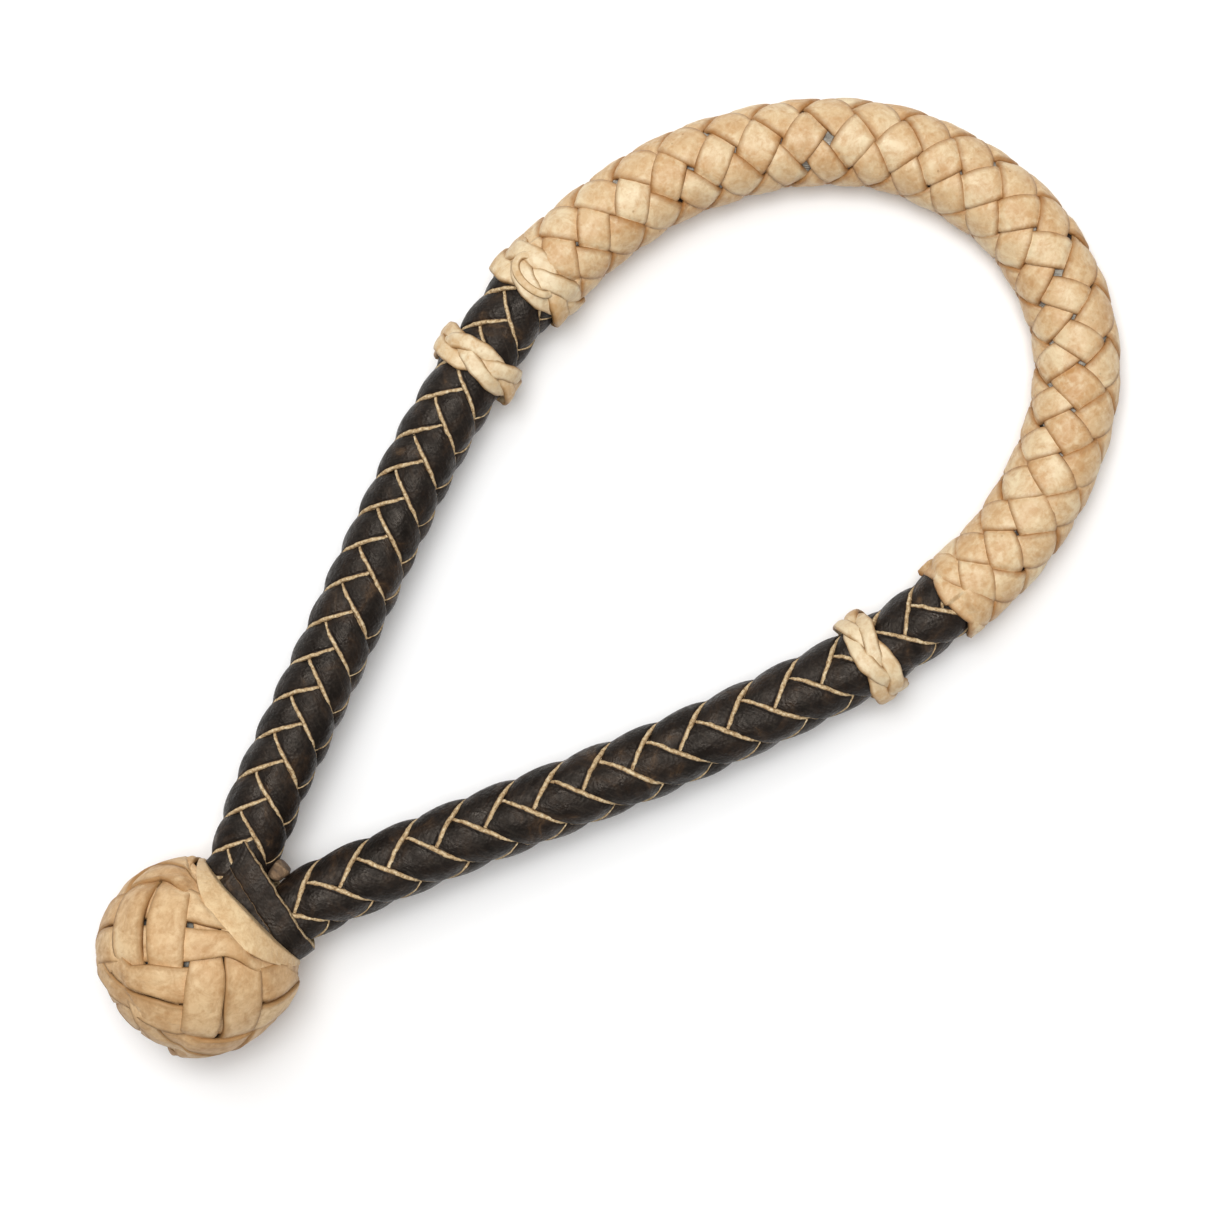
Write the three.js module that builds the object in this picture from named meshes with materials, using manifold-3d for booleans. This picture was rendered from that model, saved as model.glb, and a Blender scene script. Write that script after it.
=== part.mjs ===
// Bosal: the braided noseband of a hackamore. A closed teardrop loop with a woven
// rawhide nose button, two black braided leather shanks, two small keeper rings that
// slide on the shanks, and a woven rawhide heel knot that ties the shanks together.
// Millimetres. +X runs from the heel knot to the nose, +Z is up. The loop lies on a
// table on its heel knot and its nose button, and the origin is under the middle.
import * as THREE from "three";
import Module from "manifold-3d";

// Route of the shank centreline in the loop's own plane, heel knot centre at 0, 0:
// out along the left shank, round the nose and back along the right shank.
const ROUTE = [
  [-4, 7.6], [8, 7.6], [18, 7.9], [28, 12.0], [39, 17.8], [51, 23.0],
  [73.5, 32.7], [101.5, 45.0], [122, 53.2], [141.4, 59.3], [162, 63.9], [186, 64.4],
  [209, 59.8], [233, 46.8], [250, 27.5], [257.8, -1.0], [250.5, -27.5], [233, -44.5],
  [209, -54.0], [186, -55.2], [164.3, -52.7], [142, -47.2], [114, -38.3], [90, -29.8],
  [66, -20.8], [44, -13.0], [33, -9.4], [23, -7.8], [12, -7.6], [4, -7.6], [-4, -7.6],
];

// Body braid: four strands each way round the core.
const STRANDS_EACH_WAY = 4;
const LAY = 38.4; // length along the shank of one full turn of a strand
const STEPS_PER_TURN = 8;
const STRAND_FILL = 0.84; // strand width as a share of the strand spacing
const OUTER_STRAND = { inside: 7.38, outside: 8.0 };
const INNER_STRAND = { inside: 5.8, outside: 6.5 };
const CORE_RADIUS = 4.3;
const CORE_SIDES = 8;
const CORE_STEP = 9;
const CORE_END_INSET = 0.5;

// The shanks are pulled thinner where they are bound together at the throat.
const THROAT_SQUEEZE = 0.875;
const SQUEEZE_START = 22; // distance from the route's end
const SQUEEZE_LENGTH = 16;

// Nose button and what it is woven over.
const NOSE_SIDES = 12;
const NOSE_STEP = 10;
const NOSE_FOUNDATION = { inside: 8.6, outside: 9.05 };
const NOSE_BUTTON = { inside: 9.35, outside: 10.15 };
const NOSE_LEFT_POINT = [160.0, 63.3];
const NOSE_RIGHT_POINT = [184.3, -55.4];
const FOUNDATION_INSET = 1.0;
const END_RING_LENGTH = 8.4;
const GAP = 0.35;

// Keeper rings that slide on the shanks.
const LEFT_RING_POINT = [141.4, 59.3];
const RIGHT_RING_POINT = [164.3, -52.7];
const RING_SIDES = 16;
const RING_BORE = 8.9;
const RING_OUTSIDE = 10.7;
const RING_LENGTH = 8.2;

// Heel knot.
const HEEL_SIDES = 16;
const HEEL_RADIUS = 23.4;
const HEEL_SHELL_INSIDE = 20.9;
const HEEL_FILL_RADIUS = 20.5;
const HEEL_RIM_X = 16.6;
const HEEL_RIM_BORE = 15.1;
const HEEL_BANDS = 14;
const SHANK_SOCKET = 7.75;

// Throat binding and the wedge of leather in the crotch of the loop.
const WRAP_START_X = 17.0;
const WRAP_END_X = 25.0;
const WRAP_SECTIONS = 4;
const WRAP_CLEARANCE = 0.7;
const WRAP_THICKNESS = 1.2;
const WRAP_ARC_STEPS = 6;
const FILLER = { x: 28.2, y: 1.9, length: 3.6, width: 2.8, height: 8.0, bevel: 0.5 };

const DOWN = -Math.PI / 2;

const manifold = await Module();
manifold.setup();

// ---- route -------------------------------------------------------------------------

const route = new THREE.CatmullRomCurve3(
  ROUTE.map(([x, y]) => new THREE.Vector3(x, y, 0)),
  false,
  "catmullrom",
  0.5,
);
route.arcLengthDivisions = 3000;
const routeLength = route.getLength();

function frameAt(s) {
  const share = THREE.MathUtils.clamp(s / routeLength, 0, 1);
  const centre = route.getPointAt(share);
  const along = route.getTangentAt(share);
  const side = new THREE.Vector3(-along.y, along.x, 0);
  return { centre, along, side };
}

function distanceNearest([x, y]) {
  const target = new THREE.Vector3(x, y, 0);
  const step = 0.25;
  let best = 0;
  let bestGap = Infinity;
  for (let s = 0; s <= routeLength; s += step) {
    const gap = frameAt(s).centre.distanceTo(target);
    if (gap < bestGap) {
      bestGap = gap;
      best = s;
    }
  }
  return best;
}

// Distance along the route at which the left or the right shank first reaches x.
function distanceAtX(x, onLeft) {
  const step = 0.1;
  let walked = 0;
  while (frameAt(onLeft ? walked : routeLength - walked).centre.x < x) {
    walked += step;
  }
  return onLeft ? walked : routeLength - walked;
}

function squeeze(s) {
  const fromEnd = Math.min(s, routeLength - s);
  const share = THREE.MathUtils.smoothstep(fromEnd, SQUEEZE_START, SQUEEZE_START + SQUEEZE_LENGTH);
  return THREE.MathUtils.lerp(THROAT_SQUEEZE, 1, share);
}

function onShank(s, angle, radius) {
  const { centre, side } = frameAt(s);
  return centre
    .clone()
    .addScaledVector(side, radius * Math.cos(angle))
    .add(new THREE.Vector3(0, 0, radius * Math.sin(angle)));
}

// ---- closed bodies from rings of points --------------------------------------------

// Joins rings of equal length into one closed body. A closed list runs back to its
// first ring; an open one is capped at a tip point or at the middle of its end ring.
function bodyFromRings(rings, { closed = false, startTip = null, endTip = null, splitLong = false } = {}) {
  const count = rings[0].length;
  const points = rings.flat();
  const index = [];
  const last = closed ? rings.length : rings.length - 1;
  for (let i = 0; i < last; i += 1) {
    const here = i * count;
    const next = ((i + 1) % rings.length) * count;
    for (let k = 0; k < count; k += 1) {
      const m = (k + 1) % count;
      addQuad(index, points, [here + k, here + m, next + m, next + k], splitLong);
    }
  }
  if (!closed) {
    addCap(index, points, 0, count, startTip, true);
    addCap(index, points, (rings.length - 1) * count, count, endTip, false);
  }
  return outwardGeometry(points, index);
}

// Splits a four-cornered face along its shorter or its longer diagonal.
function addQuad(index, points, [a, b, c, d], splitLong) {
  const firstIsShort = points[a].distanceTo(points[c]) <= points[b].distanceTo(points[d]);
  if (firstIsShort !== splitLong) {
    index.push(a, b, c, a, c, d);
  } else {
    index.push(a, b, d, b, c, d);
  }
}

function addCap(index, points, first, count, tip, reversed) {
  const ring = points.slice(first, first + count);
  const middle = ring.reduce((sum, p) => sum.add(p), new THREE.Vector3()).divideScalar(count);
  points.push(tip ?? middle);
  const centre = points.length - 1;
  for (let k = 0; k < count; k += 1) {
    const a = first + k;
    const b = first + ((k + 1) % count);
    index.push(...(reversed ? [centre, b, a] : [centre, a, b]));
  }
}

function outwardGeometry(points, index) {
  let volume = 0;
  for (let i = 0; i < index.length; i += 3) {
    const [a, b, c] = [points[index[i]], points[index[i + 1]], points[index[i + 2]]];
    volume += a.dot(new THREE.Vector3().crossVectors(b, c));
  }
  if (volume < 0) {
    for (let i = 0; i < index.length; i += 3) {
      [index[i], index[i + 1]] = [index[i + 1], index[i]];
    }
  }
  const geometry = new THREE.BufferGeometry();
  geometry.setAttribute("position", new THREE.Float32BufferAttribute(points.flatMap((p) => p.toArray()), 3));
  geometry.setIndex(index);
  return geometry;
}

function shankCircle(s, radius, sides, phase) {
  return Array.from({ length: sides }, (_, k) => onShank(s, phase + (2 * Math.PI * k) / sides, radius));
}

function evenStops(from, to, step) {
  const count = Math.max(1, Math.round((to - from) / step));
  return Array.from({ length: count + 1 }, (_, i) => from + ((to - from) * i) / count);
}

// A sleeve that follows the route between two distances, with its flats facing down.
function sleeveGeometry(from, to, { inside, outside }, sides, step) {
  const phase = DOWN + Math.PI / sides;
  const stops = evenStops(from, to, step);
  const outer = stops.map((s) => shankCircle(s, outside, sides, phase));
  const inner = stops.map((s) => shankCircle(s, inside, sides, phase)).reverse();
  return bodyFromRings([...outer, ...inner], { closed: true });
}

// ---- body of the loop --------------------------------------------------------------

function coreGeometry() {
  const stops = evenStops(CORE_END_INSET, routeLength - CORE_END_INSET, CORE_STEP);
  const rings = stops.map((s) => shankCircle(s, CORE_RADIUS * squeeze(s), CORE_SIDES, Math.PI / CORE_SIDES));
  return bodyFromRings(rings);
}

// One flat strand wound round the shank. Its section is cut square to its own run, and
// the long diagonal of each facet is the one that lies along the round of the shank.
function strandGeometry(number, turnSign, { inside, outside }) {
  const radius = (inside + outside) / 2;
  const pitchAngle = Math.atan2(2 * Math.PI * radius, LAY);
  const spacing = (LAY / STRANDS_EACH_WAY) * Math.sin(pitchAngle);
  const halfWidth = (spacing * STRAND_FILL) / 2;
  const turnStep = (halfWidth * Math.cos(pitchAngle)) / radius;
  const alongStep = halfWidth * Math.sin(pitchAngle);
  const startAngle = (2 * Math.PI * number) / STRANDS_EACH_WAY;
  const ends = alongStep + CORE_END_INSET;
  const rings = evenStops(ends, routeLength - ends, LAY / STEPS_PER_TURN).map((s) => {
    const angle = startAngle + (turnSign * 2 * Math.PI * s) / LAY;
    const corner = (edge, level) => {
      const at = s - edge * alongStep;
      return onShank(at, angle + edge * turnSign * turnStep, level * squeeze(at));
    };
    return [corner(-1, inside), corner(1, inside), corner(1, outside), corner(-1, outside)];
  });
  return bodyFromRings(rings, { splitLong: true });
}

// ---- heel knot, throat and rings ---------------------------------------------------

function circleAboutX(x, radius, sides) {
  return Array.from({ length: sides }, (_, k) => {
    const angle = DOWN + (2 * Math.PI * (k + 0.5)) / sides;
    return new THREE.Vector3(x, radius * Math.cos(angle), radius * Math.sin(angle));
  });
}

// Rings of a ball from its far pole to the plane of the neck.
function ballRings(radius, neckX) {
  const neckAngle = Math.asin(neckX / radius);
  const farAngle = -Math.PI / 2;
  return Array.from({ length: HEEL_BANDS }, (_, i) => {
    const angle = farAngle + ((neckAngle - farAngle) * (i + 1)) / HEEL_BANDS;
    return circleAboutX(radius * Math.sin(angle), radius * Math.cos(angle), HEEL_SIDES);
  });
}

function heelKnotGeometry() {
  const outer = ballRings(HEEL_RADIUS, HEEL_RIM_X);
  const innerNeckX = Math.sqrt(HEEL_SHELL_INSIDE ** 2 - HEEL_RIM_BORE ** 2);
  const inner = ballRings(HEEL_SHELL_INSIDE, innerNeckX).reverse();
  const rim = circleAboutX(HEEL_RIM_X, HEEL_RIM_BORE, HEEL_SIDES);
  return bodyFromRings([...outer, rim, ...inner], {
    startTip: new THREE.Vector3(-HEEL_RADIUS, 0, 0),
    endTip: new THREE.Vector3(-HEEL_SHELL_INSIDE, 0, 0),
  });
}

function toManifold(geometry) {
  const mesh = new manifold.Mesh({
    numProp: 3,
    vertProperties: geometry.getAttribute("position").array,
    triVerts: Uint32Array.from(geometry.index.array),
  });
  return new manifold.Manifold(mesh);
}

function fromManifold(solid) {
  const mesh = solid.getMesh();
  const geometry = new THREE.BufferGeometry();
  geometry.setAttribute("position", new THREE.Float32BufferAttribute(Array.from(mesh.vertProperties), 3));
  geometry.setIndex(Array.from(mesh.triVerts));
  return geometry;
}

// The filling of the heel knot: a ball with sockets for the two shank ends.
function heelFillingGeometry() {
  const neckX = Math.sqrt(HEEL_FILL_RADIUS ** 2 - (HEEL_RIM_BORE - GAP) ** 2);
  const ball = bodyFromRings(ballRings(HEEL_FILL_RADIUS, neckX), {
    startTip: new THREE.Vector3(-HEEL_FILL_RADIUS, 0, 0),
  });
  const socketLength = 2 * HEEL_RIM_X;
  const ends = [[0, socketLength], [routeLength - socketLength, routeLength]];
  const sockets = ends.map(([from, to]) => {
    const rings = evenStops(from, to, CORE_STEP).map((s) => shankCircle(s, SHANK_SOCKET, CORE_SIDES * 2, 0));
    return toManifold(bodyFromRings(rings));
  });
  return fromManifold(toManifold(ball).subtract(sockets[0]).subtract(sockets[1]));
}

// Half a turn of a band round one shank, seen in the plane square to X.
function bandArc(x, onLeft, clearance) {
  const s = distanceAtX(x, onLeft);
  const { centre, along } = frameAt(s);
  const radius = OUTER_STRAND.outside * squeeze(s) + clearance;
  const stretch = 1 / Math.abs(along.x);
  return Array.from({ length: WRAP_ARC_STEPS + 1 }, (_, i) => {
    const turn = (Math.PI * i) / WRAP_ARC_STEPS;
    const angle = onLeft ? Math.PI / 2 - turn : -Math.PI / 2 - turn;
    const y = centre.y + radius * stretch * Math.cos(angle);
    return new THREE.Vector3(x, y, radius * Math.sin(angle));
  });
}

function bandLoop(x, clearance) {
  return [...bandArc(x, true, clearance), ...bandArc(x, false, clearance)];
}

function throatWrapGeometry() {
  const stops = evenStops(WRAP_START_X, WRAP_END_X, (WRAP_END_X - WRAP_START_X) / WRAP_SECTIONS);
  const outer = stops.map((x) => bandLoop(x, WRAP_CLEARANCE + WRAP_THICKNESS));
  const inner = stops.map((x) => bandLoop(x, WRAP_CLEARANCE)).reverse();
  return bodyFromRings([...outer, ...inner], { closed: true });
}

function throatFillerGeometry() {
  const { x, y, length, width, height, bevel } = FILLER;
  const shape = new THREE.Shape();
  shape.moveTo(-length / 2, -width / 2 + bevel);
  shape.lineTo(-length / 2, width / 2 - bevel);
  shape.lineTo(length / 2, width / 2);
  shape.lineTo(length / 2, -width / 2);
  const geometry = new THREE.ExtrudeGeometry(shape, { depth: height, bevelEnabled: false });
  geometry.translate(x, y, -height / 2);
  return geometry;
}

// A ring with a rounded section, closed on itself, square to the shank at s.
function keeperRingGeometry(s, bore, outside, length) {
  const half = length / 2;
  const middle = (bore + outside) / 2;
  const section = [
    [-half, middle], [-half * 0.55, outside], [half * 0.55, outside],
    [half, middle], [half * 0.6, bore], [-half * 0.6, bore],
  ];
  const { centre, along, side } = frameAt(s);
  const rings = section.map(([shift, radius]) =>
    Array.from({ length: RING_SIDES }, (_, k) => {
      const angle = DOWN + (2 * Math.PI * (k + 0.5)) / RING_SIDES;
      return centre
        .clone()
        .addScaledVector(along, shift)
        .addScaledVector(side, radius * Math.cos(angle))
        .add(new THREE.Vector3(0, 0, radius * Math.sin(angle)));
    }),
  );
  return bodyFromRings(rings, { closed: true });
}

// ---- materials and assembly --------------------------------------------------------

function blackLeather() {
  return new THREE.MeshStandardMaterial({ color: 0x2b2724, roughness: 0.45, metalness: 0 });
}

function rawhide() {
  return new THREE.MeshStandardMaterial({ color: 0xdcb783, roughness: 0.6, metalness: 0 });
}

function paleRawhide() {
  return new THREE.MeshStandardMaterial({ color: 0xe6cda3, roughness: 0.6, metalness: 0 });
}

function knotRawhide() {
  return new THREE.MeshStandardMaterial({ color: 0xcda673, roughness: 0.65, metalness: 0 });
}

function coreRawhide() {
  return new THREE.MeshStandardMaterial({ color: 0xb08a5c, roughness: 0.8, metalness: 0 });
}

function greyCloth() {
  return new THREE.MeshStandardMaterial({ color: 0x9a9a98, roughness: 0.9, metalness: 0 });
}

function brownLeather() {
  return new THREE.MeshStandardMaterial({ color: 0x6e5540, roughness: 0.8, metalness: 0 });
}

const loop = new THREE.Group();
loop.name = "loop";

function add(name, geometry, material) {
  const mesh = new THREE.Mesh(geometry, material);
  mesh.name = name;
  loop.add(mesh);
}

const noseStart = distanceNearest(NOSE_LEFT_POINT);
const noseEnd = distanceNearest(NOSE_RIGHT_POINT);
const buttonStart = noseStart + END_RING_LENGTH + GAP;

add("core", coreGeometry(), coreRawhide());
for (let i = 0; i < STRANDS_EACH_WAY; i += 1) {
  add(`body_strand_left_${i + 1}`, strandGeometry(i, 1, OUTER_STRAND), blackLeather());
  add(`body_strand_right_${i + 1}`, strandGeometry(i, -1, INNER_STRAND), blackLeather());
}
add("nose_foundation",
  sleeveGeometry(buttonStart + FOUNDATION_INSET, noseEnd - FOUNDATION_INSET, NOSE_FOUNDATION, NOSE_SIDES, NOSE_STEP),
  greyCloth());
add("nose_button",
  sleeveGeometry(buttonStart, noseEnd, NOSE_BUTTON, NOSE_SIDES, NOSE_STEP),
  rawhide());
add("nose_end_ring",
  keeperRingGeometry(noseStart + END_RING_LENGTH / 2, RING_BORE, RING_OUTSIDE, END_RING_LENGTH),
  paleRawhide());
add("side_ring_left",
  keeperRingGeometry(distanceNearest(LEFT_RING_POINT), RING_BORE, RING_OUTSIDE, RING_LENGTH),
  paleRawhide());
add("side_ring_right",
  keeperRingGeometry(distanceNearest(RIGHT_RING_POINT), RING_BORE, RING_OUTSIDE, RING_LENGTH),
  paleRawhide());
add("heel_filling", heelFillingGeometry(), greyCloth());
add("heel_knot", heelKnotGeometry(), knotRawhide());
add("throat_wrap", throatWrapGeometry(), blackLeather());
add("throat_filler", throatFillerGeometry(), brownLeather());

// Lie the loop down: the nose drops until button and heel knot both touch the table.
const noseReach = Math.max(...ROUTE.map(([x]) => x));
const heelDrop = HEEL_RADIUS * Math.cos(Math.PI / HEEL_SIDES);
const noseDrop = NOSE_BUTTON.outside * Math.cos(Math.PI / NOSE_SIDES);
loop.rotation.y = Math.asin((heelDrop - noseDrop) / noseReach);
loop.updateMatrixWorld(true);
const bounds = new THREE.Box3().setFromObject(loop, true);
const middle = bounds.getCenter(new THREE.Vector3());
loop.position.set(-middle.x, -middle.y, -bounds.min.z);

const bosal = new THREE.Group();
bosal.name = "bosal";
bosal.add(loop);
bosal.updateMatrixWorld(true);

export default bosal;
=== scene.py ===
"""A bosal: braided leather noseband with woven rawhide nose button, keeper rings and heel knot.

Lengths are in mm in the loop's own frame, until to_row turns them into metres in the row frame."""

from math import pi, radians

import bpy
import numpy as np
from mathutils import Matrix, Vector
from numpy import cos, hypot, sin, tanh


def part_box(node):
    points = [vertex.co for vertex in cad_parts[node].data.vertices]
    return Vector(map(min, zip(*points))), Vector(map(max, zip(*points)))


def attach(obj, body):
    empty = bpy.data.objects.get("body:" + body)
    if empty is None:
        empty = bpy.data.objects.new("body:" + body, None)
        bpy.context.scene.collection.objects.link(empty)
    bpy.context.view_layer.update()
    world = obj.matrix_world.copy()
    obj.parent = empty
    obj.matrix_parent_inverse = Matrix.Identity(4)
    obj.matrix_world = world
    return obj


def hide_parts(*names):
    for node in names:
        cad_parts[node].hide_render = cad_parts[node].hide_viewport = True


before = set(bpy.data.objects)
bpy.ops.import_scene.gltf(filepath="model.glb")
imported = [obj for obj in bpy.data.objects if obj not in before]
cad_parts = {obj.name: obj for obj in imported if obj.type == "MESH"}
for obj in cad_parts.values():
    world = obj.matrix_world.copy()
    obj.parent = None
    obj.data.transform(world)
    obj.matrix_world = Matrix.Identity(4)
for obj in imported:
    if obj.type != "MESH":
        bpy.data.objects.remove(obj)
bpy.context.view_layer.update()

MM = 0.001
TURN = 2 * pi
SEED = 11

# Route of the shank centreline in the loop's own plane, heel knot centre at 0, 0.
ROUTE = [
    (-4, 7.6), (8, 7.6), (18, 7.9), (28, 12.0), (39, 17.8), (51, 23.0),
    (73.5, 32.7), (101.5, 45.0), (122, 53.2), (141.4, 59.3), (162, 63.9), (186, 64.4),
    (209, 59.8), (233, 46.8), (250, 27.5), (257.8, -1.0), (250.5, -27.5), (233, -44.5),
    (209, -54.0), (186, -55.2), (164.3, -52.7), (142, -47.2), (114, -38.3), (90, -29.8),
    (66, -20.8), (44, -13.0), (33, -9.4), (23, -7.8), (12, -7.6), (4, -7.6), (-4, -7.6),
]
ROUTE_STEPS = 120  # samples between two route points

CAD_HEEL_RADIUS = 23.4
LIE_ANGLE = 0.05102  # radians that the loop slopes down from the heel knot to the nose
SQUASH_HEIGHT = 0.6  # the soft rawhide gives below this height above the table

NOSE_START = 175.0  # distances along the route
NOSE_END = 410.75
LEFT_RING_AT = 156.0
RIGHT_RING_AT = 431.0


# ---- placing things in the row frame ----

def heel_centre():
    """The centre of the heel knot in the row frame, in mm, from its CAD box."""
    low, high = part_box("heel_knot")
    pole = CAD_HEEL_RADIUS * cos(LIE_ANGLE)
    return np.array([
        low.x / MM + pole,
        (low.y + high.y) / 2 / MM,
        (low.z + high.z) / 2 / MM,
    ])


HEEL_CENTRE = heel_centre()
LIE = np.array(Matrix.Rotation(LIE_ANGLE, 3, "Y"))


def to_row(points):
    """Loop coordinates in mm, shape (..., 3), to the row frame in metres.

    What would reach below the table is squashed flat against it."""
    placed = points @ LIE.T + HEEL_CENTRE
    height = placed[..., 2]
    below = np.minimum(height, SQUASH_HEIGHT) - SQUASH_HEIGHT
    squashed = SQUASH_HEIGHT * np.exp(below / SQUASH_HEIGHT)
    placed[..., 2] = np.where(height < SQUASH_HEIGHT, squashed, height)
    return placed * MM


def sample_route():
    """Catmull-Rom curve through ROUTE: distances and points, then distances and headings."""
    points = np.array(ROUTE, float)
    points = np.vstack([2 * points[0] - points[1], points, 2 * points[-1] - points[-2]])
    t = np.arange(ROUTE_STEPS)[:, None] / ROUTE_STEPS
    parts = []
    for p0, p1, p2, p3 in zip(points, points[1:], points[2:], points[3:]):
        parts.append(0.5 * (
            2 * p1
            + (p2 - p0) * t
            + (2 * p0 - 5 * p1 + 4 * p2 - p3) * t ** 2
            + (3 * p1 - p0 - 3 * p2 + p3) * t ** 3
        ))
    line = np.vstack(parts + [points[-2][None, :]])
    step = np.diff(line, axis=0)
    distance = np.concatenate([[0], np.cumsum(hypot(step[:, 0], step[:, 1]))])
    heading = np.unwrap(np.arctan2(step[:, 1], step[:, 0]))
    middle = (distance[1:] + distance[:-1]) / 2
    return distance, line, middle, heading


ROUTE_S, ROUTE_LINE, HEADING_S, HEADING = sample_route()
ROUTE_LENGTH = ROUTE_S[-1]


def shank_frame(s):
    """Centre, direction along and direction to the left of the route at distance s."""
    s = np.asarray(s, float)
    inside = np.clip(s, 0, ROUTE_LENGTH)
    over = s - inside
    heading = np.interp(inside, HEADING_S, HEADING)
    flat = np.zeros_like(heading)
    along = np.stack([cos(heading), sin(heading), flat], -1)
    side = np.stack([-sin(heading), cos(heading), flat], -1)
    x = np.interp(inside, ROUTE_S, ROUTE_LINE[:, 0])
    y = np.interp(inside, ROUTE_S, ROUTE_LINE[:, 1])
    centre = np.stack([x, y, flat], -1) + along * over[..., None]
    return centre, along, side


def on_shank(s, angle, radius):
    """A point at an angle round the shank (0 is the left side) and a radius from its axis."""
    centre, _, side = shank_frame(s)
    up = np.array([0.0, 0.0, 1.0])
    across = side * cos(angle)[..., None] + up * sin(angle)[..., None]
    return centre + across * np.asarray(radius)[..., None]


def round_heel(polar, turn, radius):
    """Points round the heel knot, from the angle off its far pole and the turn about its axis."""
    return np.stack(np.broadcast_arrays(
        -cos(polar) * radius,
        sin(polar) * cos(turn) * radius,
        sin(polar) * sin(turn) * radius,
    ), -1)


def full_circle(sides):
    """Evenly spaced angles round a circle, as one row."""
    return (np.arange(sides) * TURN / sides)[None, :]


def smooth_step(x, start, end):
    """0 up to start and 1 from end on, with a smooth rise between."""
    t = np.clip((x - start) / (end - start), 0, 1)
    return t * t * (3 - 2 * t)


def flattened_wave(wave, power):
    """A wave between -1 and 1 with flatter tops and steeper sides, more so with a higher power."""
    return tanh(power * wave) / tanh(power)


THROAT_SQUEEZE = 0.875
SQUEEZE_START = 22.0
SQUEEZE_LENGTH = 16.0


def squeeze(s):
    """The shanks get thinner where they are bound together at the throat."""
    from_end = np.minimum(s, ROUTE_LENGTH - s)
    share = smooth_step(from_end, SQUEEZE_START, SQUEEZE_START + SQUEEZE_LENGTH)
    return THROAT_SQUEEZE + (1 - THROAT_SQUEEZE) * share


# ---- smooth random variation ----

WANDER_WAVES = 4
WANDER_SHORTEST = 0.6  # shares of the wavelength
WANDER_LONGER = 0.45


def wander(x, wavelength, seed, size=1.0):
    """Smooth repeatable variation between about -size and size along x."""
    rng = np.random.default_rng(SEED + seed)
    total = np.zeros_like(np.asarray(x, float))
    for k in range(WANDER_WAVES):
        length = wavelength * (WANDER_SHORTEST + WANDER_LONGER * k)
        total += sin(TURN * np.asarray(x) / length + rng.uniform(0, TURN)) / 2
    return size * total


# ---- strips of leather and rawhide as meshes ----

# What a material can read at each point of a strip: its place across and along in mm, how
# near it is to a side, and a number that tells one piece of strip from the next.
ATTRIBUTES = ("across", "along", "edge", "strand")


def strip_mesh(name, rings, closed, looks, material, slot, body, *nodes):
    """A closed body from rings of points (count, ring, 3) in loop mm.

    looks holds what is stored in ATTRIBUTES, or is empty."""
    count, size, _ = rings.shape
    index = np.arange(count * size).reshape(count, size)
    here = index if closed else index[:-1]
    following = np.roll(index, -1, 0) if closed else index[1:]
    quads = np.stack([
        here, np.roll(here, -1, 1), np.roll(following, -1, 1), following,
    ], -1).reshape(-1, 4)
    faces = [tuple(q) for q in quads.tolist()]
    if not closed:
        faces.append(tuple(index[0][::-1].tolist()))
        faces.append(tuple(index[-1].tolist()))
    vertices = to_row(rings.reshape(-1, 3))
    mesh = bpy.data.meshes.new(name)
    mesh.from_pydata(vertices.tolist(), [], faces)
    for key, values in zip(ATTRIBUTES, looks):
        layer = mesh.attributes.new(key, "FLOAT", "POINT")
        spread = np.broadcast_to(values, (count, size))
        layer.data.foreach_set("value", np.ascontiguousarray(spread, np.float32).ravel())
    mesh.update()
    mesh.polygons.foreach_set("use_smooth", np.ones(len(mesh.polygons), bool))
    obj = bpy.data.objects.new(name, mesh)
    bpy.context.scene.collection.objects.link(obj)
    mesh.materials.append(material)
    face_outwards(mesh)
    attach(obj, body)
    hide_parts(*nodes)


def face_outwards(mesh):
    """Turns every face over if the body is inside out."""
    mesh.calc_loop_triangles()
    corners = np.zeros(len(mesh.loop_triangles) * 3, int)
    mesh.loop_triangles.foreach_get("vertices", corners)
    points = np.zeros(len(mesh.vertices) * 3)
    mesh.vertices.foreach_get("co", points)
    a, b, c = points.reshape(-1, 3)[corners.reshape(-1, 3)].transpose(1, 0, 2)
    if np.einsum("ij,ij->i", a, np.cross(b, c)).sum() < 0:
        mesh.flip_normals()


def side_share(across):
    """0 in the middle of a strip and 1 at both sides."""
    return np.abs(across) / np.abs(across).max()


def join_section(across, height, rest):
    """A section from the places and heights of its top and the points of the rest of the ring.

    Sections are across, height and edge share for each point of the ring. The edge share is
    1 on the cut sides, so a material can show the raw edge there."""
    top = (across, height, np.zeros(len(across)))
    return [np.concatenate(pair) for pair in zip(top, np.array(rest).T)]


# Places across the top of a flat strip, from its left side to its right one.
FLAT_TOP = np.array([-1, -0.86, -0.66, -0.4, -0.13, 0.13, 0.4, 0.66, 0.86, 1.0])
# The sides and the underside. Each place across is a share of the half width plus a share
# of the bevel, and the third number is the height as a share of the thickness.
FLAT_UNDERSIDE = [
    (1.0, -0.45, 0.12), (1.0, 0.0, -0.45), (0.8, 0.0, -0.5), (0.0, 0.0, -0.5),
    (-0.8, 0.0, -0.5), (-1.0, 0.0, -0.45), (-1.0, 0.45, 0.12),
]
LIP_POWER = 6


def flat_section(half_width, thickness, dome, bevel, lip=0.0):
    """Section of a flat strip, domed in the middle; lip raises its sides."""
    height = thickness / 2 + dome * (1 - FLAT_TOP ** 2) + lip * np.abs(FLAT_TOP) ** LIP_POWER
    rest = [
        (half_width * width_share + bevel * bevel_share, thickness * level, 1.0)
        for width_share, bevel_share, level in FLAT_UNDERSIDE
    ]
    return join_section(FLAT_TOP * (half_width - bevel), height, rest)


LEATHER_TOP = np.array([0, 0.07, 0.17, 0.3, 0.43, 0.57, 0.7, 0.83, 0.93, 1.0])
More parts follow.
